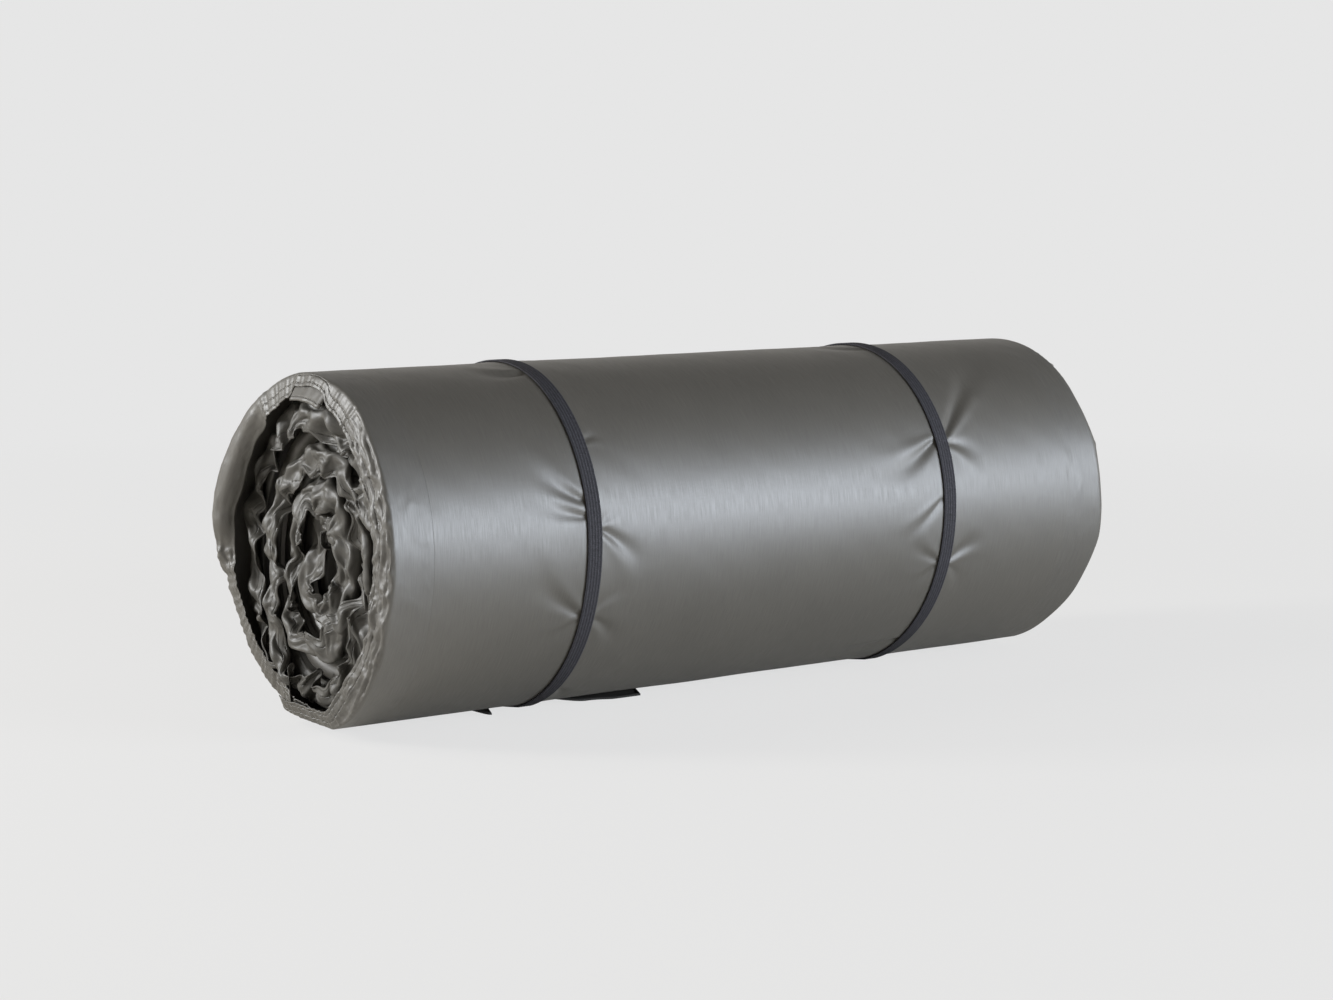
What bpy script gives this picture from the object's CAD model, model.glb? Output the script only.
"""The rolled sleeping mat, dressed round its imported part.

Cloth pieces start as flat grids in real sizes, with x across the mat, s along its
length and a level through its thickness. The roll functions bend them as the
part's source bends its solids, and the crumpled side margins are simulated.
"""

import math

import bmesh
import bpy
import numpy as np
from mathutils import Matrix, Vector, noise


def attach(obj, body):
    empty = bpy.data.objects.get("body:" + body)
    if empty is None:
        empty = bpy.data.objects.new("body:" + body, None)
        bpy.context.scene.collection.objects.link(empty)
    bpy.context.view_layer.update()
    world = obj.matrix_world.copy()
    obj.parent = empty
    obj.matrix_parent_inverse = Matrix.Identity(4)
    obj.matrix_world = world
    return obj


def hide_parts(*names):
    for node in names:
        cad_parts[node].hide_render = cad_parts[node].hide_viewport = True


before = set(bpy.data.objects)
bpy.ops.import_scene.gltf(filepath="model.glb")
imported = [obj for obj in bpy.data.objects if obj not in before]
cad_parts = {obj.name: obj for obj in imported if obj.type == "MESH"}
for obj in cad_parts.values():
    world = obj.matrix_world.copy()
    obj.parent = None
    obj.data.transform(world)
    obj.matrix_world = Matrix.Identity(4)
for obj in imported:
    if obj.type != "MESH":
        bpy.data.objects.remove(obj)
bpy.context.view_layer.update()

# The flat mat and the roll, as in the part's source
FOAM_LENGTH = 1.90
FOAM_HALF = 0.0075
COVER_THICKNESS = 0.0006
HEM_THICKNESS = 0.0012
END_HEM_LENGTH = 0.030
GAP = 0.0003
PITCH = 2 * (FOAM_HALF + GAP + COVER_THICKNESS) + GAP + 0.0035
CORE_RADIUS = 0.0155
CORE_TALLER = 0.007
PRESSED = 0.0030
LEAN = 0.040
OVAL = -0.020
OUTER_END_ANGLE = math.radians(-96)
END_SQUASH = 0.15
FALL_TURNS = 0.28
SAG = 0.0045
FINE_TURNS = 1.3125
STRAP_WIDTH = 0.010
STRAP_THICKNESS = 0.0010
STRAPS = {"near": -0.137, "far": 0.139}
STRAP_LAP = 0.028
RIBS = 5
LAP_RAMP = 0.010
LAP_ANGLE = math.radians(140)
HALF_LENGTH = 0.2748

# The roll's middle, and the radius for lengths round it
MIDDLE_HEIGHT = 0.108
RADIUS = 0.108
MM = 0.001


def smooth(value, low, high):
    """0 below low, 1 above high and a soft step between."""
    t = np.clip((value - low) / (high - low), 0, 1)
    return t * t * (3 - 2 * t)


def eased(value, marks):
    """Values between some marks, with no corners at them: each mark is a place and its values."""
    marks = np.array(marks, dtype=float)
    at = np.clip(np.searchsorted(marks[:, 0], value, side="right") - 1, 0, len(marks) - 2)
    here, there = marks[at], marks[at + 1]
    share = smooth(value, here[:, 0], there[:, 0])[:, None]
    return (here[:, 1:] + share * (there[:, 1:] - here[:, 1:])).T


def waves(value, seed, lengths, shares):
    """An uneven wave made of a few plain ones."""
    phases = np.random.default_rng(seed).uniform(0, 2 * math.pi, len(lengths))
    parts = [a * np.sin(2 * math.pi * value / n + p) for n, a, p in zip(lengths, shares, phases)]
    return sum(parts)


# How the flat mat is bent into the roll, as in the part's source. Turns run from -TURNS in
# the middle to 0 at the foam's outer end
def end_fall(turn):
    """How far the outer end is pressed down against the turn inside it, from 0 to 1."""
    return smooth(turn, -FALL_TURNS, 0)


def middle_line(turn, turns):
    """Y and Z of the foam's middle, before it rests on the floor."""
    angle = OUTER_END_ANGLE + 2 * math.pi * turn
    settled = (PRESSED + FOAM_HALF * (1 - END_SQUASH)) * end_fall(turn)
    radius = CORE_RADIUS + PITCH * (turn + turns) - settled
    radius = radius * (1 + LEAN * np.sin(2 * angle) + OVAL * np.cos(2 * angle))
    inward = np.clip((-turn - FINE_TURNS) / max(turns - FINE_TURNS, 1), 0, 1)
    radius = radius - CORE_TALLER * inward * np.cos(2 * angle)
    return -radius * np.cos(angle), radius * np.sin(angle)


def line_table(turns):
    """The middle line as columns: turn, length, y, z and the outward normal's y and z."""
    turn = np.linspace(-turns - 0.4, 0.25, 6000)
    y, z = middle_line(turn, turns)
    length = np.concatenate([[0], np.cumsum(np.hypot(np.diff(y), np.diff(z)))])
    length = length - np.interp(-turns, turn, length)
    run_y, run_z = np.gradient(y, turn), np.gradient(z, turn)
    size = np.hypot(run_y, run_z)
    return turn, length, y, z, -run_z / size, run_y / size


def turns_for_length():
    """How many turns take up the foam's length."""
    low, high = 0.5, 40.0
    for _ in range(48):
        middle = (low + high) / 2
        turn, length = line_table(middle)[:2]
        if np.interp(0, turn, length) < FOAM_LENGTH:
            low = middle
        else:
            high = middle
    return (low + high) / 2


TURNS = turns_for_length()
TABLE = line_table(TURNS)


def length_at(turn):
    return np.interp(turn, TABLE[0], TABLE[1])


def turn_at(length):
    return np.interp(length, TABLE[1], TABLE[0])


def angle_at(length):
    """Degrees round the roll's last turn: 0 at the front, 90 on top, 180 at the back."""
    return math.degrees(OUTER_END_ANGLE) + 360 * (turn_at(length) + 1)


def length_for(angle):
    return length_at((angle - math.degrees(OUTER_END_ANGLE)) / 360 - 1)


def foam_share(length):
    """How much of the foam's thickness is left there."""
    return 1 - (1 - END_SQUASH) * end_fall(turn_at(length))


def outer_face(length):
    """The level of the cover's outer face."""
    return FOAM_HALF * foam_share(length) + GAP + COVER_THICKNESS


def coiled(length, level):
    """Y and Z in the roll, before it rests on the floor."""
    y, z, normal_y, normal_z = (np.interp(length, TABLE[1], column) for column in TABLE[2:])
    return y + level * normal_y, z + level * normal_z


def underside_pass(first_turn, last_turn):
    """The outline of one pass under the roll, in order of y."""
    length = length_at(np.linspace(first_turn, last_turn, 400))
    y, z = coiled(length, outer_face(length))
    order = np.argsort(y)
    return y[order], z[order]


START_PASS = underside_pass(-1.20, -0.80)
END_PASS = underside_pass(-0.20, 0.20)
FREE_FLOOR = float(min(END_PASS[1].min(), START_PASS[1].min())) + SAG


def rested(y, z):
    """Flattens the roll where it rests."""
    passes = [np.interp(y, *line, left=0, right=0) for line in (START_PASS, END_PASS)]
    lift = np.clip(FREE_FLOOR - np.minimum(*passes), 0, None)
    return y, z + lift * np.clip(z / FREE_FLOOR, 0, 1)


def hull(points):
    """The convex outline of some points, in order."""
    points = sorted(set(map(tuple, points)))

    def side(run):
        kept = []
        for point in run:
            while len(kept) > 1:
                (ay, az), (by, bz) = kept[-2], kept[-1]
                if (by - ay) * (point[1] - az) - (bz - az) * (point[0] - ay) > 0:
                    break
                kept.pop()
            kept.append(point)
        return kept[:-1]

    return np.array(side(points) + side(points[::-1]))


def outer_loop():
    """The outline that the straps follow."""
    lengths = np.linspace(length_at(-1.02), FOAM_LENGTH, 420)
    y, z = rested(*coiled(lengths, outer_face(lengths)))
    z = np.where(z < FREE_FLOOR + 0.00005, FREE_FLOOR, z)
    return hull(zip(y.tolist(), z.tolist()))


LOOP = outer_loop()
Z_SHIFT = STRAP_THICKNESS + GAP - FREE_FLOOR
Y_SHIFT = -float(LOOP[:, 0].min() + LOOP[:, 0].max()) / 2


def rolled(x, length, level):
    """Points of the roll for cloth at x, at a length along the mat and a level in it."""
    y, z = rested(*coiled(length, level))
    return np.stack(np.broadcast_arrays(x, y + Y_SHIFT, z + Z_SHIFT), axis=-1)


# Making pieces
def placed(name, data):
    made = bpy.data.objects.new(name, data)
    bpy.context.scene.collection.objects.link(made)
    return made


def mesh_object(name, bm):
    mesh = bpy.data.meshes.new(name)
    bm.to_mesh(mesh)
    bm.free()
    return placed(name, mesh)


def finish_piece(bm, name, material, body):
    piece = mesh_object(name, bm)
    piece.data.materials.append(material)
    piece.data.polygons.foreach_set("use_smooth", [True] * len(piece.data.polygons))
    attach(piece, body)
    return piece


def set_uv(bm, name, across, along):
    """Writes a UV map, given its two values at each vertex."""
    layer = bm.loops.layers.uv.get(name) or bm.loops.layers.uv.new(name)
    places = np.stack([across, along], axis=1).tolist()
    bm.verts.index_update()
    for face in bm.faces:
        for loop in face.loops:
            loop[layer].uv = places[loop.vert.index]


def flat_cloth(across, along):
    """A flat grid of cloth with its real sizes as its UV map, and its two flat coordinates."""
    bm = bmesh.new()
    bmesh.ops.create_grid(bm, x_segments=len(across) - 1, y_segments=len(along) - 1, size=0.5)
    flat = np.array([vertex.co for vertex in bm.verts])
    column = np.rint((flat[:, 0] + 0.5) * (len(across) - 1)).astype(int)
    row = np.rint((flat[:, 1] + 0.5) * (len(along) - 1)).astype(int)
    x, s = np.asarray(across)[column], np.asarray(along)[row]
    set_uv(bm, "Cloth", x, s)
    return bm, x, s


def bend(bm, points):
    """Moves the vertices to their places in the roll."""
    for vertex, point in zip(bm.verts, points.tolist()):
        vertex.co = point


def face_out(bm):
    """Turns the faces of a piece wound round the roll away from the roll's middle."""
    bmesh.ops.recalc_face_normals(bm, faces=bm.faces)
    outward = 0.0
    for face in bm.faces:
        away = face.calc_center_median() - Vector((0, 0, MIDDLE_HEIGHT))
        outward += face.normal.y * away.y + face.normal.z * away.z
    if outward < 0:
        bmesh.ops.reverse_faces(bm, faces=bm.faces)


def thicken(piece, thickness, offset=0.0):
    solid = piece.modifiers.new("Cloth thickness", "SOLIDIFY")
    solid.thickness = thickness
    solid.offset = offset
    solid.use_even_offset = False


# Materials
def new_material(name, colour, roughness, **sockets):
    material = bpy.data.materials.new(name)
    material.use_nodes = True
    shader = material.node_tree.nodes["Principled BSDF"]
    shader.inputs["Base Color"].default_value = (*colour, 1)
    shader.inputs["Roughness"].default_value = roughness
    for socket, value in sockets.items():
        shader.inputs[socket.replace("_", " ")].default_value = value
    return material, material.node_tree, shader


def node(tree, kind, **values):
    """A new node with some properties, or some inputs by their names, set."""
    made = tree.nodes.new(kind)
    for name, value in values.items():
        if hasattr(made, name):
            setattr(made, name, value)
        else:
            made.inputs[name.replace("_", " ")].default_value = value
    return made


def mapped(tree, source, scale, rotation=(0, 0, 0)):
    made = node(tree, "ShaderNodeMapping", Scale=scale, Rotation=rotation)
    tree.links.new(source, made.inputs["Vector"])
    return made.outputs["Vector"]


def noise_on(tree, source, scale, detail, roughness, stretch=(1, 1, 1)):
    made = node(tree, "ShaderNodeTexNoise", Scale=scale, Detail=detail, Roughness=roughness)
    tree.links.new(mapped(tree, source, stretch), made.inputs["Vector"])
    return made.outputs["Fac"]


def mixed(tree, blend, first, second, share=1.0):
    """Mixes two colours, which are a Mix node's inputs 6 and 7."""
    made = node(tree, "ShaderNodeMix", data_type="RGBA", blend_type=blend, Factor=1.0)
    if not isinstance(share, float):
        tree.links.new(share, made.inputs["Factor"])
    tree.links.new(first, made.inputs[6])
    tree.links.new(second, made.inputs[7])
    return made.outputs[2]


def maths(tree, operation, *values, **settings):
    """A Math node on values that are outputs of nodes or plain numbers."""
    made = node(tree, "ShaderNodeMath", operation=operation, **settings)
    for socket, value in zip(made.inputs, values):
        if isinstance(value, bpy.types.NodeSocket):
            tree.links.new(value, socket)
        else:
            socket.default_value = value
    return made.outputs[0]


def ramp(tree, source, stops):
    made = node(tree, "ShaderNodeValToRGB")
    points = made.color_ramp.elements
    while len(points) < len(stops):
        points.new(0.5)
    for point, (place, colour) in zip(points, stops):
        point.position = place
        point.color = (*colour, 1) if hasattr(colour, "__len__") else (colour, colour, colour, 1)
    tree.links.new(source, made.inputs["Fac"])
    return made.outputs["Color"]


def bump(tree, height, strength, distance, under=None):
    made = node(tree, "ShaderNodeBump", Strength=strength, Distance=distance)
    tree.links.new(height, made.inputs["Height"])
    if under is not None:
        tree.links.new(under, made.inputs["Normal"])
    return made.outputs["Normal"]


def creases(tree, cloth):
    """Crisp creases that wander over crumpled cloth."""
    kind = {"noise_type": "RIDGED_MULTIFRACTAL", "Scale": 1.0, "Detail": 3.0, "Distortion": 0.6}
    made = node(tree, "ShaderNodeTexNoise", **kind)
    tree.links.new(mapped(tree, cloth, (95, 60, 1), (0, 0, 0.5)), made.inputs["Vector"])
    return made.outputs["Fac"]


def coated_nylon(name, dark, light, roughness, wrinkles, sewn=False, crisp=0.0, ior=1.9):
    """Satin nylon: slubs run round the roll, a fine weave, and soft unevenness.

    A sewn one has two rows of stitches along its hem.
    """
    material, tree, shader = new_material(name, light, roughness, IOR=ior)
    cloth = node(tree, "ShaderNodeUVMap", uv_map="Cloth").outputs["UV"]
    slubs = noise_on(tree, cloth, 1.0, 2.0, 0.6, (1500, 75, 1))
    weft = noise_on(tree, cloth, 1.0, 2.0, 0.6, (60, 1500, 1))
    mottle = noise_on(tree, cloth, 1.0, 4.0, 0.6, (24, 18, 1))
    tone = ramp(tree, slubs, [(0.30, dark), (0.72, light)])
    broad = ramp(tree, mottle, [(0.3, 0.90), (0.7, 1.0)])
    tree.links.new(mixed(tree, "MULTIPLY", tone, broad), shader.inputs["Base Color"])
    gloss = ramp(tree, slubs, [(0.25, roughness + 0.06), (0.75, roughness - 0.04)])
    tree.links.new(gloss, shader.inputs["Roughness"])
    first = bump(tree, weft, 0.10, 0.00015)
    second = bump(tree, slubs, 0.22, 0.00018, first)
    crease = noise_on(tree, cloth, 1.0, 5.0, 0.62, (55, 42, 1))
    last = bump(tree, crease, wrinkles, 0.0012, second)
    if crisp:
        last = bump(tree, creases(tree, cloth), crisp, 0.0016, last)
    if sewn:
        last = bump(tree, stitches(tree), 0.8, 0.0006, last)
    tree.links.new(last, shader.inputs["Normal"])
    return material


# Distances from the hem of the two rows of stitches, and the length of a stitch
STITCH_ROWS = (0.0024, 0.0072)
STITCH = 0.0028


def stitches(tree):
    """The height of two rows of stitches, by the distance from the hem."""
    place = node(tree, "ShaderNodeUVMap", uv_map="Hem").outputs["UV"]
    parts = node(tree, "ShaderNodeSeparateXYZ")
    tree.links.new(place, parts.inputs[0])
    far = 0.012
    stops = [(0.0, 1.0)]
    for row in STITCH_ROWS:
        stops += [(row / far - 0.05, 1.0), (row / far, 0.0), (row / far + 0.05, 1.0)]
    rows = ramp(tree, maths(tree, "DIVIDE", parts.outputs["X"], far, use_clamp=True), stops)
    pace = maths(tree, "MULTIPLY", parts.outputs["Y"], 2 * math.pi / STITCH)
    dash = ramp(tree, maths(tree, "SINE", pace), [(0.0, 0.0), (0.35, 0.55)])
    return mixed(tree, "LIGHTEN", rows, dash)


def bands(tree, cloth, direction, **values):
    made = node(tree, "ShaderNodeTexWave", wave_type="BANDS", bands_direction=direction, **values)
    tree.links.new(cloth, made.inputs["Vector"])
    return made.outputs["Fac"]


def woven_elastic(name):
    """Matt elastic: covered rubber cords lengthwise and crossing threads."""
    material, tree, shader = new_material(name, (0.04, 0.038, 0.046), 0.78, Specular_IOR_Level=0.3)
    cloth = node(tree, "ShaderNodeUVMap", uv_map="Cloth").outputs["UV"]
    threads = bands(tree, cloth, "Y", Scale=300, Distortion=1.2, Detail=1)
    fuzz = noise_on(tree, cloth, 1.0, 3.0, 0.6, (900, 500, 1))
    tone = ramp(tree, fuzz, [(0.3, (0.034, 0.033, 0.038)), (0.7, (0.062, 0.060, 0.070))])
    cords = bands(tree, cloth, "X", Scale=math.pi / (10 * STRAP_WIDTH / RIBS))
    lines = ramp(tree, cords, [(0.0, 0.38), (0.5, 1.0)])
    tree.links.new(mixed(tree, "MULTIPLY", tone, lines), shader.inputs["Base Color"])
    first = bump(tree, threads, 0.5, 0.0002)
    tree.links.new(bump(tree, fuzz, 0.3, 0.0002, first), shader.inputs["Normal"])
    return material


COVER = coated_nylon("cover_nylon", (0.079, 0.072, 0.059), (0.097, 0.090, 0.075), 0.50, 0.05)
HEM = coated_nylon(
    "hem_nylon", (0.016, 0.015, 0.013), (0.022, 0.020, 0.018), 0.70, 0.05, ior=1.4
)
RIM = coated_nylon(
    "rim_nylon", (0.078, 0.072, 0.060), (0.100, 0.093, 0.079), 0.50, 0.06, sewn=True, crisp=0.22
)
MARGIN = coated_nylon(
    "margin_nylon", (0.068, 0.064, 0.055), (0.092, 0.087, 0.075), 0.50, 0.12,
    sewn=True, crisp=0.7, ior=1.7,
)
ELASTIC = woven_elastic("strap_elastic")


# The folds that the straps pull into the cover: start and end as x and angle, and depth and
# width in millimetres, with how much all of them are drawn out, deepened and widened
FOLDS_LONGER, FOLDS_DEEPER, FOLDS_WIDER = 1.55, 1.9, 2.0
FOLD_REACH = 0.07
FOLD_CREST = 0.38
FOLDS = [
    (-0.1320, 38.8, -0.1235, 41.5, 0.5, 1.3),
    (-0.1420, 20.5, -0.1720, 31.0, 0.8, 3.0),
    (-0.1420, 15.5, -0.1720, 21.5, 0.7, 2.8),
    (-0.1322, 10.6, -0.1060, 1.2, 0.9, 2.6),
    (-0.1320, 12.2, -0.1200, 17.0, 0.3, 1.8),
    (-0.1420, -18.2, -0.1720, -5.0, 0.8, 3.0),
    (-0.1420, -20.0, -0.1600, -27.0, 0.4, 2.4),
    (-0.1322, -20.6, -0.1130, -29.0, 0.8, 2.2),
    (-0.1322, -17.5, -0.1180, -10.0, 0.3, 2.2),
    (-0.1320, -58.0, -0.1200, -66.0, 0.9, 2.0),
    (0.1340, 30.4, 0.0980, 21.5, 1.0, 3.0),
    (0.1440, 32.2, 0.1960, 59.0, 1.1, 3.0),
    (0.1440, 29.6, 0.1660, 26.0, 0.6, 2.4),
    (0.1340, -12.6, 0.1130, -5.0, 0.5, 2.2),
    (0.1340, 10.5, 0.1080, 0.0, 0.5, 2.0),
    (0.1340, -14.6, 0.1180, -21.0, 0.35, 2.2),
    (0.1440, -13.4, 0.1640, -6.0, 0.8, 2.4),
    (0.1440, -15.4, 0.1590, -23.0, 0.4, 2.0),
    (0.1340, -54.0, 0.0950, -59.0, 0.8, 3.2),
]


def hidden_folds():
    """More such folds where the photo doesn't look: on top, at the back and below."""
    rng = np.random.default_rng(21)
    folds = []
    for x in STRAPS.values():
        for angle in np.arange(76, 258, 17.0):
            side = rng.choice((-1, 1))
            start = x + side * STRAP_WIDTH / 2
            tilt = rng.uniform(-9, 9)
            reach = rng.uniform(0.014, 0.034)
            at = angle + rng.uniform(-5, 5)
            depth, width = rng.uniform(0.6, 1.1), rng.uniform(1.8, 2.8)
            folds.append((start, at, start + side * reach, at + tilt, depth, width))
    return folds


def fold_depth(x, angle):
    """How far the straps' folds move the cover's face, in metres."""
    around = np.radians(angle) * RADIUS
    moved = np.zeros_like(x)
    for x0, a0, x1, a1, depth, width in FOLDS + hidden_folds():
        start = np.array([x0, math.radians(a0) * RADIUS])
        run = FOLDS_LONGER * (np.array([x1, math.radians(a1) * RADIUS]) - start)
        reach = np.hypot(*run)
        run = run / reach
        dx, da = x - start[0], around - start[1]
        near = (np.abs(dx) < FOLD_REACH) & (np.abs(da) < FOLD_REACH)
        along = (dx[near] * run[0] + da[near] * run[1]) / reach
        off = dx[near] * run[1] - da[near] * run[0]
        off = off + 0.0016 * np.sin(along * 4.2 + x0 * 90)
        spread = FOLDS_WIDER * width * MM * (0.34 + 1.5 * np.clip(along, 0, 1))
        fade = smooth(along, -0.05, 0.04) * (1 - smooth(along, 0.12, 1.0))
        groove = -np.exp(-((off / spread) ** 2))
        crest = FOLD_CREST * np.exp(-(((off - 1.5 * spread) / (0.9 * spread)) ** 2))
        moved[near] += FOLDS_DEEPER * depth * MM * fade * (groove + crest)
    return moved


def unevenness(x, s):
    """Soft slackness of the cover over the foam, in metres and never above 0."""
    wide = waves(x + 0.35 * s, 4, (0.190, 0.117, 0.083), (0.40, 0.30, 0.2))
    long = waves(s - 0.25 * x, 9, (0.151, 0.094, 0.057), (0.35, 0.30, 0.2))
    fine = waves(x * 0.8 + s, 14, (0.031, 0.023), (0.5, 0.5)) * waves(s, 5, (0.2, 0.13), (0.6, 0.4))
    return MM * (0.45 * wide * (0.5 + 0.5 * long) + 0.25 * long + 0.10 * fine - 0.55)


# How far beside a strap the cover is held down
HELD_BESIDE = 0.012


def held_by_straps(x):
    """1 beneath a strap, fading to 0 beside it."""
    return sum(np.exp(-(((x - at) / HELD_BESIDE) ** 2)) for at in STRAPS.values())


# The two rims: the cover runs on past the foam, turns in and ends in a hem. A line gives
# an angle round the roll, how far the cloth turns in there in degrees, and in millimetres
# the fold's radius, how far the fold is set back, and the width of the band inside it
BODY_HALF = 0.2450
RIMS = {
    "near": [
        (-112, 62, 2.0, 0.8, 9.0),
        (-80, 66, 1.6, 0.3, 10.0),
        (-48, 84, 2.8, 0.2, 16.0),
        (44, 84, 3.4, 0.2, 15.0),
        (70, 74, 3.6, 0.2, 11.0),
        (75, 70, 3.6, 0.2, 5.0),
        (94, 70, 3.6, 0.2, 5.0),
        (99, 76, 4.0, 0.1, 11.0),
        (114, 84, 5.0, -0.5, 12.0),
        (130, 142, 7.8, -4.4, 6.0),
        (150, 166, 8.8, -8.8, 5.0),
        (170, 164, 8.6, -9.0, 5.0),
        (182, 126, 6.4, -4.5, 9.0),
        (192, 84, 4.6, 0.2, 15.0),
        (214, 76, 4.0, 3.0, 17.5),
        (226, 76, 3.6, 5.8, 16.0),
        (240, 74, 3.4, 9.0, 14.0),
        (252, 66, 3.6, 9.5, 12.0),
        (264, 62, 3.8, 9.5, 12.0),
    ],
    "far": [
        (-112, 88, 3.6, 1.4, 9.0),
        (-62, 90, 4.2, 1.0, 14.0),
        (-34, 92, 4.6, -2.6, 13.0),
        (-9, 96, 5.0, -6.4, 12.0),
        (22, 96, 5.0, -1.8, 13.0),
        (48, 92, 4.6, 0.4, 13.0),
        (70, 88, 3.6, 0.4, 12.0),
        (120, 100, 6.0, 0.8, 13.0),
        (165, 86, 3.6, 0.6, 14.0),
        (210, 104, 6.4, 1.6, 12.0),
        (264, 88, 3.6, 2.2, 9.0),
    ],
}
# How far the bands lie in short pleats, and how far they are crushed, by the angle
CRUMPLES = [
    (-112, 1, 0.1), (-70, 1, 0.2), (-45, 0, 1), (48, 0, 1), (60, 1, 0.2), (114, 1, 0.1),
    (128, 0.1, 0.15), (174, 0, 0.15), (184, 0.6, 0.9), (193, 1, 0.25), (264, 1, 0.2),
]
# A rim begins a little inside the cover and below it, so that no line shows between them
RIM_OVERLAP, RIM_LOWER = 0.0004, 0.00003


def rim_path(t, angle, end):
    """Where the cloth of a rim runs, t from 0 at the body to 1 at the hem.

    Returns how far out x reaches, how far the level drops, how far the cloth has turned
    there, its length from the body, and its distance from the hem.
    """
    turned, radius, back, band = eased(angle, RIMS[end])
    seed = 3 if end == "near" else 8
    back = (back + 0.6 * waves(angle, seed, (47, 29), (0.6, 0.4))) * MM
    band = (band + 0.8 * waves(angle, seed + 9, (31, 17), (0.6, 0.4))) * MM
    turned, radius = np.radians(turned), radius * MM
    open_reach = radius * np.sin(turned) + band * np.cos(turned)
    furthest = np.where(turned > math.pi / 2, radius, open_reach)
    straight = HALF_LENGTH - back - furthest - BODY_HALF
    arc = radius * turned
    whole = straight + arc + band
    length = t * whole
    bent = np.clip((length - straight) / arc, 0, 1) * turned
    past = np.clip(length - straight - arc, 0, None)
    x = BODY_HALF + np.minimum(length, straight) + radius * np.sin(bent) + past * np.cos(turned)
    x = np.where(t > 0, x, BODY_HALF - RIM_OVERLAP)
    drop = radius * (1 - np.cos(bent)) + past * np.sin(turned) + RIM_LOWER
    return x, drop, bent, length, whole - length


def crushed(along, across, seed):
    """Sharp crests and hollows of crushed cloth, mostly from -1 to 1."""
    places = np.stack(np.broadcast_arrays(along, across, seed * 7.3), axis=-1)
    made = [noise.ridged_multi_fractal(Vector(p), 0.9, 2.1, 3.0, 1.0, 1.8) for p in places.tolist()]
    made = np.array(made)
    return np.clip((made - made.mean()) / (1.8 * made.std()), -1.4, 1.4)


def skin_level(x, s):
    """The level of the cover's middle, folds and slackness included."""
    slack = smooth(FOAM_LENGTH - s, 0, 0.05) * (1 - np.clip(held_by_straps(x), 0, 1))
    middle = outer_face(s) - COVER_THICKNESS / 2
    return middle + fold_depth(x, angle_at(s)) + unevenness(x, s) * slack


def below_straps(level, s):
    """Keeps the cover where the straps can slide over it."""
    return np.minimum(level, outer_face(s) + 0.0002 - COVER_THICKNESS / 2)


def fine_steps(start, stop, size):
    return np.linspace(start, stop, max(2, round(abs(stop - start) / size)) + 1)


def runs(marks, sizes):
    """Steps from mark to mark, each run with its own step size."""
    parts = [fine_steps(a, b, size)[:-1] for a, b, size in zip(marks, marks[1:], sizes)]
    return np.concatenate(parts + [marks[-1:]])


def cover_rows():
    """Lengths round the cover, closer together where the photo shows its folds."""
    marks = [length_at(-1.045), length_for(-72), length_for(62), FOAM_LENGTH]
    return runs([float(mark) for mark in marks], (0.0026, 0.0015, 0.0026))


def mat_cover():
    """The cover's outside between its rims, once round the roll."""
    edge, beside = BODY_HALF - 0.0003, 0.042
    wide, fine = 0.0075, 0.0018
    marks = [-BODY_HALF, -edge]
    for middle in STRAPS.values():
        marks += [middle - beside, middle + beside]
    marks += [edge, BODY_HALF]
    rows = cover_rows()
    bm, x, s = flat_cloth(runs(marks, (1, wide, fine, wide, fine, wide, 1)), rows)
    bend(bm, rolled(x, s, below_straps(skin_level(x, s), s)))
    face_out(bm)
    piece = finish_piece(bm, "mat_cover", COVER, "mat")
    thicken(piece, COVER_THICKNESS)
    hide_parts("cover_outer_panel")


# The cover's own unevenness goes on into the rims up to here
RIM_START = 0.262
# How far cloth may bulge past the solids' ends
BULGE = 0.0095
# How far the rows of stitches draw the hem in, and over what width
SEAM_SUNK, SEAM_WIDTH = 0.0002, 0.0007
RIM_STEPS = runs([0.0, 0.012, 0.5, 1.0], (0.012, 0.07, 0.0185))


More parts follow.
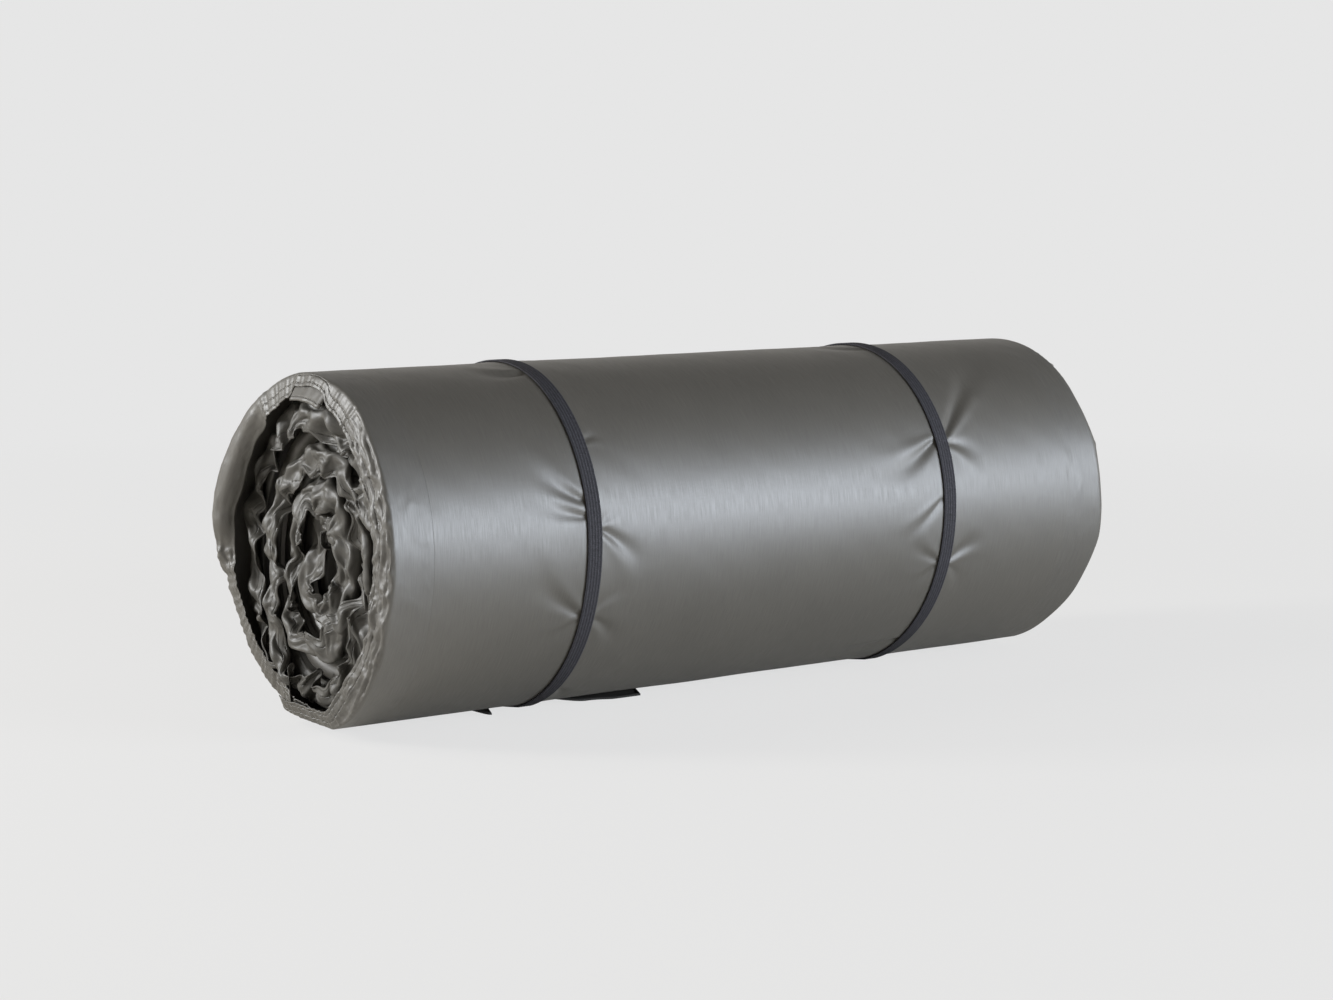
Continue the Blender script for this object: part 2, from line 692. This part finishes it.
def cover_rim(end, side):
    """The cover's margin beyond the foam, turned in and crushed or pleated."""
    rows = cover_rows()
    rows = np.sort(np.concatenate([rows, (rows[1:] + rows[:-1]) / 2]))
    bm, t, s = flat_cloth(RIM_STEPS, rows)
    angle = angle_at(s)
    x, drop, bent, length, to_hem = rim_path(t, angle, end)
    loose = smooth(bent, 0.9, 1.5) if end == "far" else smooth(bent, 0.25, 1.2)
    pleats, crushes = eased(angle, CRUMPLES)
    pleat = waves(s, 31 + side, (0.0047, 0.0068, 0.0115), (0.5, 0.4, 0.35))
    pleat = pleat * smooth(bent, 0.2, 1.0)
    strand = crushed(s / 0.040 + 40 * to_hem, to_hem / 0.0060, 3 + side)
    crease = crushed((s + 1.3 * to_hem) / 0.015, (to_hem - 0.45 * s) / 0.0075, 6 + side)
    ruffle = waves(s, 41 + side, (0.033, 0.021), (0.5, 0.4)) * smooth(bent, 0.5, 1.4)
    lift = crushes * loose * (1.25 * strand + 0.8 * crease) + pleats * 0.5 * pleat
    lift = (lift + 0.5 * ruffle - 0.5 * loose) * MM
    seams = sum(np.exp(-(((to_hem - row) / SEAM_WIDTH) ** 2)) for row in STITCH_ROWS)
    lift = lift - SEAM_SUNK * seams
    level = skin_level(side * np.minimum(x, RIM_START), s) - drop + lift * np.cos(bent)
    out = np.minimum(x + lift * np.sin(bent), HALF_LENGTH + BULGE)
    bend(bm, rolled(side * out, s, below_straps(level, s)))
    rolled_in = smooth(eased(angle, RIMS[end])[0], 92, 120)
    set_uv(bm, "Cloth", side * (BODY_HALF + length), s)
    set_uv(bm, "Hem", to_hem + 0.02 * rolled_in, s)
    bmesh.ops.recalc_face_normals(bm, faces=bm.faces)
    if side * sum(face.normal.x for face in bm.faces) < 0:
        bmesh.ops.reverse_faces(bm, faces=bm.faces)
    piece = finish_piece(bm, end + "_rim", RIM, "mat")
    thicken(piece, COVER_THICKNESS)
    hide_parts(end + "_side_fin")


# The wound foam: half its width, how far its faces stay inside the real ones, and how wide
# its soft edges are
TURNS_HALF_WIDTH = 0.2525
TURNS_INSIDE = 0.0015
TURNS_EDGE = 0.003


def mat_turns():
    """The wound foam in its cover, inside the outer turn, with soft edges."""
    half, level = TURNS_HALF_WIDTH, FOAM_HALF - TURNS_INSIDE
    in_x, in_z = half - TURNS_EDGE, level - TURNS_EDGE
    corners = [
        (-half, -in_z), (-in_x, -level), (in_x, -level), (half, -in_z),
        (half, in_z), (in_x, level), (-in_x, level), (-half, in_z),
    ]
    bm = bmesh.new()
    lengths = length_at(np.linspace(-TURNS, 0, 330)).tolist()
    rings = [[bm.verts.new((x, length, z)) for x, z in corners] for length in lengths]
    for here, there in zip(rings, rings[1:]):
        for k in range(len(corners)):
            bm.faces.new((here[k], there[k], there[k - 1], here[k - 1]))
    bm.faces.new(rings[0])
    bm.faces.new(rings[-1])
    flat = np.array([vertex.co for vertex in bm.verts])
    set_uv(bm, "Cloth", flat[:, 0] + flat[:, 2], flat[:, 1])
    bend(bm, rolled(flat[:, 0], flat[:, 1], flat[:, 2] * foam_share(flat[:, 1])))
    bmesh.ops.recalc_face_normals(bm, faces=bm.faces)
    piece = finish_piece(bm, "mat_turns", COVER, "mat")
    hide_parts("foam_core", "cover_inner_panel")


# The crumpled side margins, simulated as cloth that folds over in a lip at every turn of
# the roll's end and is pressed in a little. First their cloth, then the lip, then the hand
MARGIN_WIDTH = 0.041
MARGIN_ROOT = 0.2540
MARGIN_LEVEL = 0.0055
MARGIN_EXTRA = 0.05
OUTER_TAKEN_IN = 0.04
MARGIN_END = -1.045
MARGIN_THICKNESS = 0.0005
WEAVE_STEP = 0.0029
LIP_STEM = 0.012
LIP_RADIUS = 0.0058
LIP_LEAN = 0.44
LIP_BACK = 1.5
LIP_REACH = 0.030
LIP_HIGH = 0.0060
LIP_LEANS_OUT = 0.0035
RUFFLE = 0.0048
PRESS_START = 0.2860
PRESS_DEEPEST = 0.2718
PRESS_END = 0.2745
PRESS_FRAMES = 20
FRAMES = 26
# How far the outermost lip leans out to the near rim, by the angle
LEANS_OUT = [
    (-112, 2.8), (-80, 2.6), (-55, 1.0), (-42, 0), (44, 0), (60, 1), (112, 1.8), (150, 2.6),
    (290, 2.6),
]
CLOTH = {
    "quality": 6,
    "mass": 0.15,
    "tension_stiffness": 60,
    "compression_stiffness": 25,
    "shear_stiffness": 5,
    "bending_stiffness": 0.003,
    "tension_damping": 5,
    "compression_damping": 5,
    "shear_damping": 5,
    "bending_damping": 0.5,
    "air_damping": 3,
    "pin_stiffness": 1,
}
CLOTH_TOUCH = {
    "collision_quality": 3,
    "distance_min": 0.0008,
    "use_self_collision": True,
    "self_distance_min": 0.0012,
    "self_friction": 3,
}
WALL_TOUCH = {"thickness_outer": 0.0008, "damping": 0.5, "cloth_friction": 5}
FOAM_WALL = 0.2500
# How far below the next turn the margin's cloth stays, and how much nearer the outermost
# lip may come. Then the level in the outer turn that none of the cloth may pass, how much it
# rises below the rolled fold at the back, and between which angles
BELOW_NEXT, OUTERMOST_NEARER = 0.0105, 0.0062
OUTER_LIMIT, LIMIT_RISES, RISES_BETWEEN = -0.0035, 0.0060, (205, 232)


def set_all(target, values):
    for name, value in values.items():
        setattr(target, name, value)


def flat_wall(name, x, facing):
    """A flat wall across the roll, facing along X, for the cloth to bump into."""
    bm = bmesh.new()
    bmesh.ops.create_grid(bm, x_segments=1, y_segments=1, size=0.2)
    turn = Vector((facing, 0, 0)).to_track_quat("Z", "Y").to_matrix()
    bmesh.ops.rotate(bm, verts=bm.verts, matrix=turn)
    wall = mesh_object(name, bm)
    wall.modifiers.new("Collision", "COLLISION")
    set_all(wall.collision, WALL_TOUCH)
    wall.location = (x, 0, MIDDLE_HEIGHT)
    return wall


def within_outer_turn(points):
    """Moves points that are too far out to the inside of the outer turn."""
    lengths = length_at(np.linspace(-1.0, 0.0, 361))
    level = OUTER_LIMIT + LIMIT_RISES * smooth(angle_at(lengths), *RISES_BETWEEN)
    rim = rolled(0, lengths, level) - (0, 0, MIDDLE_HEIGHT)
    around = np.arctan2(rim[:, 2], rim[:, 1])
    order = np.argsort(around)
    away = points - (0, 0, MIDDLE_HEIGHT)
    reach = np.hypot(away[:, 1], away[:, 2])
    angle = np.arctan2(away[:, 2], away[:, 1])
    rim_reach = np.hypot(rim[:, 1], rim[:, 2])[order]
    furthest = np.interp(angle, around[order], rim_reach, period=2 * math.pi)
    share = np.minimum(1, furthest / reach)[:, None]
    return np.concatenate([points[:, :1], away[:, 1:] * share + (0, MIDDLE_HEIGHT)], axis=1)


def margin_lip(q, s):
    """How far out and how high the margin's cloth stands at a distance q from its seam."""
    ending = smooth(s, s.max() - 0.032, s.max() - 0.004)
    outermost = smooth(turn_at(s), -2.16, -2.04) * (1 - 0.7 * ending)
    angle = angle_at(s) + 360
    below = outermost * (1 - smooth(angle, -85, -45))
    size = (0.55 + 0.45 * smooth(s, 0.02, 0.40)) * (1 - 0.5 * ending) * (1 + 0.25 * below)
    stem = LIP_STEM * size
    radius = LIP_RADIUS * size * (1 + 0.28 * waves(s, 5, (0.083, 0.047, 0.029), (0.5, 0.4, 0.35)))
    lean = LIP_LEAN * (1 + 0.7 * waves(s, 3, (0.071, 0.043, 0.027), (0.5, 0.5, 0.4)))
    whole = lean + LIP_BACK * (1 + 0.25 * waves(s, 8, (0.061, 0.037), (0.6, 0.4)))
    bent = np.clip((q - stem) / radius, 0, whole)
    past = np.clip(q - stem - radius * whole, 0, None)
    up = np.minimum(q, stem)
    out = up * np.cos(lean) + radius * (np.sin(lean) - np.sin(lean - bent))
    out = out + past * np.cos(lean - whole)
    level = up * np.sin(lean) + radius * (np.cos(lean - bent) - np.cos(lean))
    level = level + past * np.sin(lean - whole)
    share = smooth(q / MARGIN_WIDTH, 0.1, 0.9) * (1 - 0.8 * ending)
    out = out + RUFFLE * share * waves(s, 13, (0.037, 0.023, 0.015), (0.5, 0.5, 0.4))
    level = level + RUFFLE * share * waves(s, 17, (0.047, 0.027, 0.017), (0.5, 0.5, 0.45))
    level = np.minimum(level, LIP_HIGH + 0.1 * level)
    level = level + LIP_LEANS_OUT * outermost * eased(angle, LEANS_OUT)[0] * smooth(q, 0, 0.010)
    turn = turn_at(s)
    across, up = np.subtract(middle_line(turn + 1, TURNS), middle_line(turn, TURNS))
    highest = np.hypot(across, up) - BELOW_NEXT + OUTERMOST_NEARER * outermost
    return np.minimum(out, LIP_REACH), np.minimum(level, highest)


def margin_cloth():
    """The free margin as it stands out of the roll's near end before it is pressed in."""
    along = fine_steps(0, length_at(MARGIN_END), WEAVE_STEP)
    bm, u, s = flat_cloth(np.linspace(0, 1, 17), along)
    out, level = margin_lip(u * MARGIN_WIDTH, s)
    bend(bm, rolled(-MARGIN_ROOT - out, s, MARGIN_LEVEL + level))
    set_uv(bm, "Cloth", u * MARGIN_WIDTH, s)
    set_uv(bm, "Hem", (1 - u) * MARGIN_WIDTH, s)
    return bm, u, s


def pressed(cloth, u, s):
    """Lets the cloth crumple under a flat hand, and returns where its points end up."""
    cloth.shape_key_add(name="Basis")
    rest = cloth.shape_key_add(name="Flat")
    taken_in = OUTER_TAKEN_IN * np.clip(s - length_at(-2.2), 0, None)
    flat = np.stack([-u * MARGIN_WIDTH, s + u * (MARGIN_EXTRA * s - taken_in), 0 * u], axis=1)
    rest.data.foreach_set("co", flat.ravel())
    seam = cloth.vertex_groups.new(name="Seam")
    held = (u < 0.07) | (s > s.max() - 0.008)
    seam.add([int(i) for i in np.nonzero(held)[0]], 1.0, "REPLACE")
    hand = flat_wall("hand", -PRESS_START, 1)
    walls = [hand, flat_wall("foam_wall", -FOAM_WALL, -1)]
    modifier = cloth.modifiers.new("Cloth", "CLOTH")
    set_all(modifier.settings, CLOTH)
    modifier.settings.vertex_group_mass = seam.name
    modifier.settings.rest_shape_key = rest
    modifier.settings.effector_weights.gravity = 0
    set_all(modifier.collision_settings, CLOTH_TOUCH)
    modifier.point_cache.frame_start = 1
    modifier.point_cache.frame_end = FRAMES
    scene = bpy.context.scene
    scene.frame_start, scene.frame_end = 1, FRAMES
    for number in range(1, FRAMES + 1):
        inward = min(1, (number - 1) / (PRESS_FRAMES - 1))
        outward = min(1, max(0, (number - PRESS_FRAMES) / (FRAMES - PRESS_FRAMES)))
        at = PRESS_START + (PRESS_DEEPEST - PRESS_START) * inward
        hand.location.x = -at - (PRESS_END - PRESS_DEEPEST) * outward
        scene.frame_set(number)
    shown = cloth.evaluated_get(bpy.context.evaluated_depsgraph_get())
    points = np.empty(len(shown.data.vertices) * 3)
    shown.data.vertices.foreach_get("co", points)
    cloth.modifiers.remove(modifier)
    cloth.shape_key_clear()
    cloth.vertex_groups.clear()
    for wall in walls:
        bpy.data.objects.remove(wall)
    scene.frame_set(1)
    return within_outer_turn(points.reshape(-1, 3))


def side_margins():
    """The near margin's crumpled cloth, and the far one as its mirror image."""
    bm, u, s = margin_cloth()
    near = finish_piece(bm, "near_margin", MARGIN, "mat")
    points = pressed(near, u, s)
    near.data.vertices.foreach_set("co", points.ravel())
    far = near.copy()
    far.data = near.data.copy()
    far.name = "far_margin"
    bpy.context.scene.collection.objects.link(far)
    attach(far, "mat")
    far.data.vertices.foreach_set("co", (points * (-1, 1, 1)).ravel())
    far.data.flip_normals()
    for piece, fin in ((near, "near_side_fin"), (far, "far_side_fin")):
        piece.data.update()
        fine = piece.modifiers.new("Finer cloth", "SUBSURF")
        fine.levels = fine.render_levels = 1
        thicken(piece, MARGIN_THICKNESS)
        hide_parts(fin)


# The hems at the mat's two ends and the folded tab. The outer one shows under the roll only
# in places, given as x and how far it comes out. Elsewhere it is tucked in, so it takes less
# cloth than the solid has
HEM_SEEN = [
    (-0.27, 0), (-0.172, 0), (-0.155, 0.9), (-0.1535, 0), (-0.118, 0), (-0.085, 0.8),
    (-0.045, 1.2), (-0.0435, 0), (0.27, 0),
]
HEM_HALF_WIDTH = 0.2560
HEM_DOWN = 0.0033
HEM_HANGS = 0.0042
OUTER_HEM_CLOTH = 0.8


def end_hems():
    level = FOAM_HALF * END_SQUASH + GAP + COVER_THICKNESS - HEM_THICKNESS / 2
    ends = (
        ("outer_hem", "outer_end_hem", FOAM_LENGTH + GAP, FOAM_LENGTH + END_HEM_LENGTH, level),
        ("inner_hem", "inner_end_hem", -0.020, -GAP, 0.0),
    )
    across = fine_steps(-HEM_HALF_WIDTH, HEM_HALF_WIDTH, 0.002)
    for name, fin, first, last, at in ends:
        bm, x, s = flat_cloth(across, fine_steps(first, last, 0.0025))
        wide = abs(last - first)
        if name == "outer_hem":
            wide *= OUTER_HEM_CLOTH
            share = (s - first) / (last - first)
            seen = eased(x, HEM_SEEN)[0]
            s = first + (last - first) * share * (0.60 + 0.40 * np.clip(seen, 0, 1))
            hangs = smooth(share, 0.45, 1.0) * seen * HEM_HANGS
            points = rolled(x, s, at - HEM_DOWN * smooth(share, 0.0, 0.45) + hangs)
            bend(bm, np.maximum(points, (-1, -1, HEM_THICKNESS)))
        else:
            bend(bm, rolled(x, s, at + waves(x, 6, (0.047, 0.029), (0.5, 0.4)) * 0.0003))
        bmesh.ops.recalc_face_normals(bm, faces=bm.faces)
        piece = finish_piece(bm, name, HEM, "mat")
        thicken(piece, HEM_THICKNESS)
        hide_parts(fin)


TAB_LENGTH = 0.040
TAB_START = 0.0052
TAB_DROP = 0.0108
TAB_TILT = 0.0062
TAB_OPENS = 0.0010
TAB_ANGLE = 84.5
TAB_THICKNESS = 0.0004
# How far inside the solids' end the tab's edges lie, and how far all of it is pushed in
TAB_INSIDE, TAB_PUSHED_IN = 0.0012, 0.0034


def folded_tab():
    """A small tab folded from cloth and sewn with two rows, under the near rim at the top."""
    middle = float(length_for(TAB_ANGLE))
    along = fine_steps(middle - TAB_LENGTH / 2, middle + TAB_LENGTH / 2, 0.0012)
    bm, u, s = flat_cloth(np.linspace(0, 1, 25), along)
    q = (u - 0.5) * 2
    drop = TAB_START + TAB_DROP * (1 - np.abs(q))
    shut = smooth(TAB_LENGTH / 2 - np.abs(s - middle), -0.0002, 0.0030)
    rounded = np.sqrt(np.clip(1 - (1 - np.abs(q)) ** 6, 0, 1))
    fold = np.sign(q) * (0.00025 + 0.0005 * shut) * rounded
    x = -(HALF_LENGTH - TAB_INSIDE) - fold + 0.0004 * waves(s, 12, (0.017, 0.009), (0.6, 0.4))
    x = x - (TAB_OPENS * shut + TAB_TILT) * (1 - np.abs(q)) + TAB_PUSHED_IN
    set_uv(bm, "Cloth", 2 * u * TAB_DROP, s)
    set_uv(bm, "Hem", np.minimum(np.abs(2 * u - 1) * TAB_DROP, 2 * STITCH_ROWS[0]), s)
    bend(bm, rolled(x, s, FOAM_HALF - drop))
    bmesh.ops.recalc_face_normals(bm, faces=bm.faces)
    piece = finish_piece(bm, "folded_tab", RIM, "mat")
    thicken(piece, TAB_THICKNESS)
    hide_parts("hem_tab")


# The elastic straps
RIB_DEPTH = 0.00035
EDGE_DEPTH = 0.00030


def loop_line():
    """The straps' path from its lap on, twice round: length, points, outward mitres, one round."""
    count = len(LOOP)
    reach = np.hypot(*LOOP.T).mean()
    lap = reach * np.array([-math.cos(LAP_ANGLE), math.sin(LAP_ANGLE)])
    start = int(np.argmin(np.hypot(*(LOOP - lap).T)))
    points = np.roll(LOOP, -start, axis=0)
    ahead = np.roll(points, -1, axis=0) - points
    ahead = ahead / np.hypot(*ahead.T)[:, None]
    normal = np.stack([ahead[:, 1], -ahead[:, 0]], axis=1)
    if ((points - points.mean(axis=0)) * normal).sum() < 0:
        normal = -normal
    behind = np.roll(normal, 1, axis=0)
    mitre = (normal + behind) / (1 + (normal * behind).sum(axis=1))[:, None]
    index = np.arange(2 * count + 1) % count
    points, mitre = points[index], mitre[index]
    length = np.concatenate([[0], np.cumsum(np.hypot(*np.diff(points, axis=0).T))])
    return length, points, mitre, length[count]


STRAP_LINE = loop_line()


def on_loop(length, offset):
    """Y and Z at a length along the straps' path and a distance out from it."""
    along, points, mitre, _ = STRAP_LINE
    y, z = (
        np.interp(length, along, points[:, k]) + np.interp(length, along, mitre[:, k]) * offset
        for k in (0, 1)
    )
    return y + Y_SHIFT, z + Z_SHIFT


def strap(end, x_middle):
    """A woven elastic tape with lengthwise ribs, its end lapped and sewn at the back."""
    whole = STRAP_LINE[3]
    last = whole + STRAP_LAP
    bm, across, q = flat_cloth(fine_steps(-0.5, 0.5, 0.0415), fine_steps(0, last, 0.0026))
    climb = np.clip((q - whole + LAP_RAMP) / LAP_RAMP, 0, 1)
    rib = np.abs(np.cos(math.pi * RIBS * (across + 0.5)))
    edge = smooth(np.abs(across), 0.44, 0.5)
    offset = GAP + STRAP_THICKNESS + climb * (STRAP_THICKNESS + GAP)
    offset = offset - RIB_DEPTH * (rib**3) * (1 - edge) - EDGE_DEPTH * edge
    y, z = on_loop(q, offset)
    sway = 0.0004 * waves(q, 17, (0.23, 0.11), (0.6, 0.4))
    bend(bm, np.stack([x_middle + across * STRAP_WIDTH + sway, y, z], axis=1))
    set_uv(bm, "Cloth", across * STRAP_WIDTH, q)
    face_out(bm)
    piece = finish_piece(bm, end + "_elastic", ELASTIC, end + "_loop")
    thicken(piece, STRAP_THICKNESS - 0.0001, -1.0)
    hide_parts(end + "_strap")


def sewing_thread():
    """A finer material for the zigzags of thread, which stay the solids' own."""
    material, tree, shader = new_material("sewing_thread", (0.03, 0.03, 0.034), 0.6)
    place = node(tree, "ShaderNodeTexCoord").outputs["Object"]
    plies = noise_on(tree, place, 1500.0, 2.0, 0.55)
    tone = ramp(tree, plies, [(0.3, (0.022, 0.022, 0.026)), (0.7, (0.045, 0.044, 0.050))])
    tree.links.new(tone, shader.inputs["Base Color"])
    tree.links.new(bump(tree, plies, 0.4, 0.0001), shader.inputs["Normal"])
    for end in STRAPS:
        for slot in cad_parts[end + "_strap_thread"].material_slots:
            slot.material = material


# The stage, lights and camera. The camera sees the floor and the backdrop in a plain tone
# with a soft glow near the roll, and the roll's shadow on it
BACKDROP = (0.791, 0.791, 0.791)
GLOW_NEAR = (0.820, 0.822, 0.826)
PAPER = (0.93, 0.89, 0.82)


def stage_floor():
    bm = bmesh.new()
    bmesh.ops.create_circle(bm, cap_ends=True, segments=96, radius=9.0)
    floor = mesh_object("floor", bm)
    material, tree, shader = new_material("floor_paper", PAPER, 0.9, Specular_IOR_Level=0.0)
    place = node(tree, "ShaderNodeTexCoord").outputs["Object"]
    ball = node(tree, "ShaderNodeTexGradient", gradient_type="SPHERICAL")
    tree.links.new(mapped(tree, place, (0.55, 0.55, 0.55)), ball.inputs["Vector"])
    near = ramp(tree, ball.outputs["Fac"], [(0.05, 0.0), (0.65, 0.16)])
    brighter = ramp(tree, ball.outputs["Fac"], [(0.05, BACKDROP), (0.65, GLOW_NEAR)])
    seen = node(tree, "ShaderNodeLightPath").outputs["Is Camera Ray"]
    share = maths(tree, "MAXIMUM", near, maths(tree, "SUBTRACT", 1.0, seen))
    glow = node(tree, "ShaderNodeEmission", Strength=1.0)
    tree.links.new(brighter, glow.inputs["Color"])
    surface = tree.nodes["Material Output"].inputs["Surface"]
    mix_shaders(tree, share, glow.outputs["Emission"], shader.outputs["BSDF"], surface)
    floor.data.materials.append(material)


def mix_shaders(tree, share, first, second, surface):
    mix = node(tree, "ShaderNodeMixShader")
    for source, socket in zip((share, first, second), mix.inputs):
        tree.links.new(source, socket)
    tree.links.new(mix.outputs["Shader"], surface)


def aimed(thing, place, ahead):
    thing.location = place
    thing.rotation_euler = ahead.to_track_quat("-Z", "Y").to_euler()


def softbox(name, place, target, width, height, power, colour):
    lamp = bpy.data.lights.new(name, "AREA")
    lamp.shape = "RECTANGLE"
    lamp.size, lamp.size_y = width, height
    lamp.energy = power
    lamp.color = colour
    aimed(placed(name, lamp), place, Vector(target) - Vector(place))


# The room round the roll, by the height of what it mirrors: the open side and the wall
# behind it
ROOM = [(0.0, (0.84, 0.79, 0.72)), (0.16, (0.46, 0.44, 0.41)), (0.50, (0.145, 0.137, 0.131))]
WALL = [(0.0, (0.95, 0.92, 0.87)), (0.36, (0.88, 0.85, 0.80)), (0.62, (0.16, 0.152, 0.145))]
# Each softbox's name, place, target, width, height, power and colour
SOFTBOXES = [
    ("front_softbox", (1.46, -2.50, 0.55), (0, 0, 0.12), 1.70, 0.92, 91, (0.82, 0.895, 1.0)),
    ("top_softbox", (-1.9, 0.9, 1.7), (-0.2, 0, 0.10), 1.1, 1.1, 15, (1.0, 0.99, 0.96)),
    ("end_softbox", (-2.2, 1.1, 0.8), (-0.27, 0, 0.11), 0.5, 0.5, 44, (0.98, 0.99, 1.0)),
]


def studio():
    world = bpy.data.worlds.new("studio")
    bpy.context.scene.world = world
    world.use_nodes = True
    tree = world.node_tree
    light = tree.nodes["Background"]
    place = node(tree, "ShaderNodeTexCoord").outputs["Generated"]
    way = node(tree, "ShaderNodeSeparateXYZ")
    tree.links.new(place, way.inputs[0])
    room = ramp(tree, way.outputs["Z"], ROOM)
    wall = ramp(tree, way.outputs["Z"], WALL)
    behind = node(tree, "ShaderNodeMapRange", From_Min=0.15, From_Max=0.65)
    tree.links.new(way.outputs["Y"], behind.inputs["Value"])
    around = mixed(tree, "MIX", room, wall, behind.outputs["Result"])
    side = node(tree, "ShaderNodeMapRange", From_Min=-1.0, From_Max=0.25, To_Min=0.25)
    tree.links.new(way.outputs["X"], side.inputs["Value"])
    dimmed = mixed(tree, "MULTIPLY", around, side.outputs["Result"])
    tree.links.new(dimmed, light.inputs["Color"])
    light.inputs["Strength"].default_value = 1.0
    plain = node(tree, "ShaderNodeBackground", Strength=1.0, Color=(*BACKDROP, 1))
    seen = node(tree, "ShaderNodeLightPath").outputs["Is Camera Ray"]
    surface = tree.nodes["World Output"].inputs["Surface"]
    mix_shaders(tree, seen, light.outputs["Background"], plain.outputs["Background"], surface)
    for values in SOFTBOXES:
        softbox(*values)


# The photo's camera, as fitted to its outlines
CAMERA_PLACE = (-0.9730, -1.3656, 0.3309)
CAMERA_YAW, CAMERA_PITCH = 35.22, 7.149
FOCAL_LENGTH, FILM_WIDTH = 70.15, 36


def camera():
    lens = bpy.data.cameras.new("camera")
    lens.sensor_width = FILM_WIDTH
    lens.lens = FOCAL_LENGTH
    lens.clip_end = 50
    yaw, pitch = math.radians(CAMERA_YAW), math.radians(CAMERA_PITCH)
    level = math.cos(pitch)
    ahead = Vector((math.sin(yaw) * level, math.cos(yaw) * level, -math.sin(pitch)))
    shot = placed("camera", lens)
    aimed(shot, CAMERA_PLACE, ahead)
    bpy.context.scene.camera = shot


mat_cover()
mat_turns()
cover_rim("near", -1)
cover_rim("far", 1)
side_margins()
end_hems()
folded_tab()
for end, x_middle in STRAPS.items():
    strap(end, x_middle)
sewing_thread()
stage_floor()
studio()
camera()
bpy.context.scene.view_settings.view_transform = "Standard"
